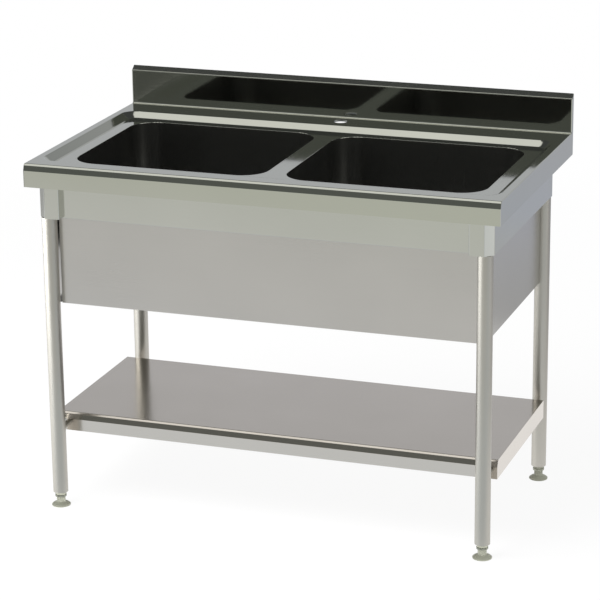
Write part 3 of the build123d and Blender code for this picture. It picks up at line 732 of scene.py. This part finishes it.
painted_shade_card = bpy.data.materials.new("painted_shade_glow_card")
painted_shade_card.use_nodes = True
flag.data.materials.append(painted_shade_card)
tree = painted_shade_card.node_tree
tree.nodes.clear()
painted_shade_glow = add_node(tree, "ShaderNodeEmission", {"Color": linear(PAINTED_SHADE_COLOUR)})
add_node(tree, "ShaderNodeOutputMaterial", {"Surface": painted_shade_glow.outputs["Emission"]})
print("flag from", FLAG_LOW, "to", FLAG_HIGH)

# %% [markdown]
# ## Studio around the sink
# Steel has no colour of its own to show, only what is around it. The world is painted by its angle
# about the X axis in degrees, from the wall behind the sink over the ceiling to the dark room behind
# the camera: a pale wall low down, a dark gap, one long soft light overhead, then a dim ceiling.
# The camera itself sees plain white, and matt pieces are lit evenly.

# %% World
STUDIO_BANDS = [
    (0, "#CACCD0"),
    (18, "#C3C5CA"),
    (23, "#C2C3C5"),
    (29, "#94979A"),
    (36, "#4A4C4C"),
    (87, "#4A4C4C"),
    (90, "#FFFFFC"),
    (118, "#FFFFFC"),
    (123, "#6C6F6E"),
    (150, "#6A6D6A"),
    (180, "#5E615E"),
]
SOFT_LIGHT = 0.55

world = bpy.data.worlds.new("studio")
bpy.context.scene.world = world
world.use_nodes = True
tree = world.node_tree
tree.nodes.clear()
direction = add_node(tree, "ShaderNodeTexCoord").outputs["Generated"]
split = add_node(tree, "ShaderNodeSeparateXYZ", {"Vector": direction})
angle = add_node(
    tree, "ShaderNodeMath", {0: split.outputs["Z"], 1: split.outputs["Y"]}, operation="ARCTAN2"
)
degrees = add_node(tree, "ShaderNodeMath", {0: angle.outputs["Value"]}, operation="DEGREES")
studio_colour = paint_ramp(tree, degrees.outputs["Value"], STUDIO_BANDS)
ray = add_node(tree, "ShaderNodeLightPath").outputs
mirror = add_node(tree, "ShaderNodeBackground", {"Color": studio_colour})
plain = add_node(tree, "ShaderNodeBackground", {"Color": linear(WHITE)})
soft = add_node(tree, "ShaderNodeBackground", {"Color": linear(WHITE), "Strength": SOFT_LIGHT})
shown = add_node(
    tree,
    "ShaderNodeMixShader",
    {0: ray["Is Glossy Ray"], 1: soft.outputs["Background"], 2: mirror.outputs["Background"]},
)
seen = add_node(
    tree,
    "ShaderNodeMixShader",
    {0: ray["Is Camera Ray"], 1: shown.outputs["Shader"], 2: plain.outputs["Background"]},
)
add_node(tree, "ShaderNodeOutputWorld", {"Surface": seen.outputs["Shader"]})
print("soft light of the world:", SOFT_LIGHT)

# %% [markdown]
# ## Lamps
# One large soft lamp above the front lays the shadow on the floor. It is linked to the floor alone: the
# steel already mirrors the painted world, and the matt feet are lit by the world and by the white
# floor around them, which leaves the tops of the pads darker than their sides. A long lamp at the
# left, about as high as the sink, draws the soft highlight down the left of each leg, and is linked
# to the legs alone.

# %% Lamps
KEY_PLACE = (-1.2, -1.6, 3.4)
KEY_SIZE = (2.5, 2.5)
KEY_POWER = 200.0
STRIP_PLACE = (-2.2, -1.3, 0.5)
STRIP_SIZE = (2.8, 0.96)
STRIP_POWER = 33.0


def add_lamp(name, place, target, size, power, lit):
    """A rectangular lamp that points at a target and lights only some of the objects."""
    lamp = bpy.data.lights.new(name, "AREA")
    lamp.shape = "RECTANGLE"
    lamp.size, lamp.size_y = size
    lamp.energy = power
    holder = bpy.data.objects.new(name, lamp)
    bpy.context.collection.objects.link(holder)
    holder.location = place
    holder.rotation_euler = (Vector(target) - holder.location).to_track_quat("-Z", "Y").to_euler()
    group = bpy.data.collections.new(f"lit_by_{name}")
    for piece in lit:
        group.objects.link(piece)
    holder.light_linking.receiver_collection = group


legs = [bpy.data.objects[f"{corner}_leg_shell"] for corner in corners]
add_lamp("key_light", KEY_PLACE, (0, 0, 0), KEY_SIZE, KEY_POWER, [floor])
add_lamp("strip_light", STRIP_PLACE, (0, 0, STRIP_PLACE[2]), STRIP_SIZE, STRIP_POWER, legs)
print("lamps:", KEY_POWER, STRIP_POWER, "watts")

# %% [markdown]
# ## Camera
# The picture was taken from the front right, above the rim, with a long lens. Its place, angles and
# lens were solved from the edges of the sink, so the render lines up with it. The camera is built
# as a chain of turns: round the sink, up towards the horizon, and a slight roll.

# %% Camera
CAMERA_PLACE = (2.0332, -5.7516, 2.4311)
AZIMUTH = math.radians(19.5827)
ELEVATION = math.radians(17.5264)
ROLL = math.radians(-0.6638)
LENS = 152.05
SENSOR = 36.0

view = bpy.data.cameras.new("catalogue_view")
view.lens = LENS
view.sensor_width = SENSOR
camera = bpy.data.objects.new("catalogue_view", view)
bpy.context.collection.objects.link(camera)
turns = Matrix.Rotation(AZIMUTH, 4, "Z")
turns @= Matrix.Rotation(math.pi / 2 - ELEVATION, 4, "X")
turns @= Matrix.Rotation(ROLL, 4, "Z")
camera.matrix_world = Matrix.Translation(CAMERA_PLACE) @ turns
bpy.context.scene.camera = camera
bpy.context.scene.view_settings.view_transform = "Standard"
print("camera at", CAMERA_PLACE, "with a lens of", LENS, "mm")
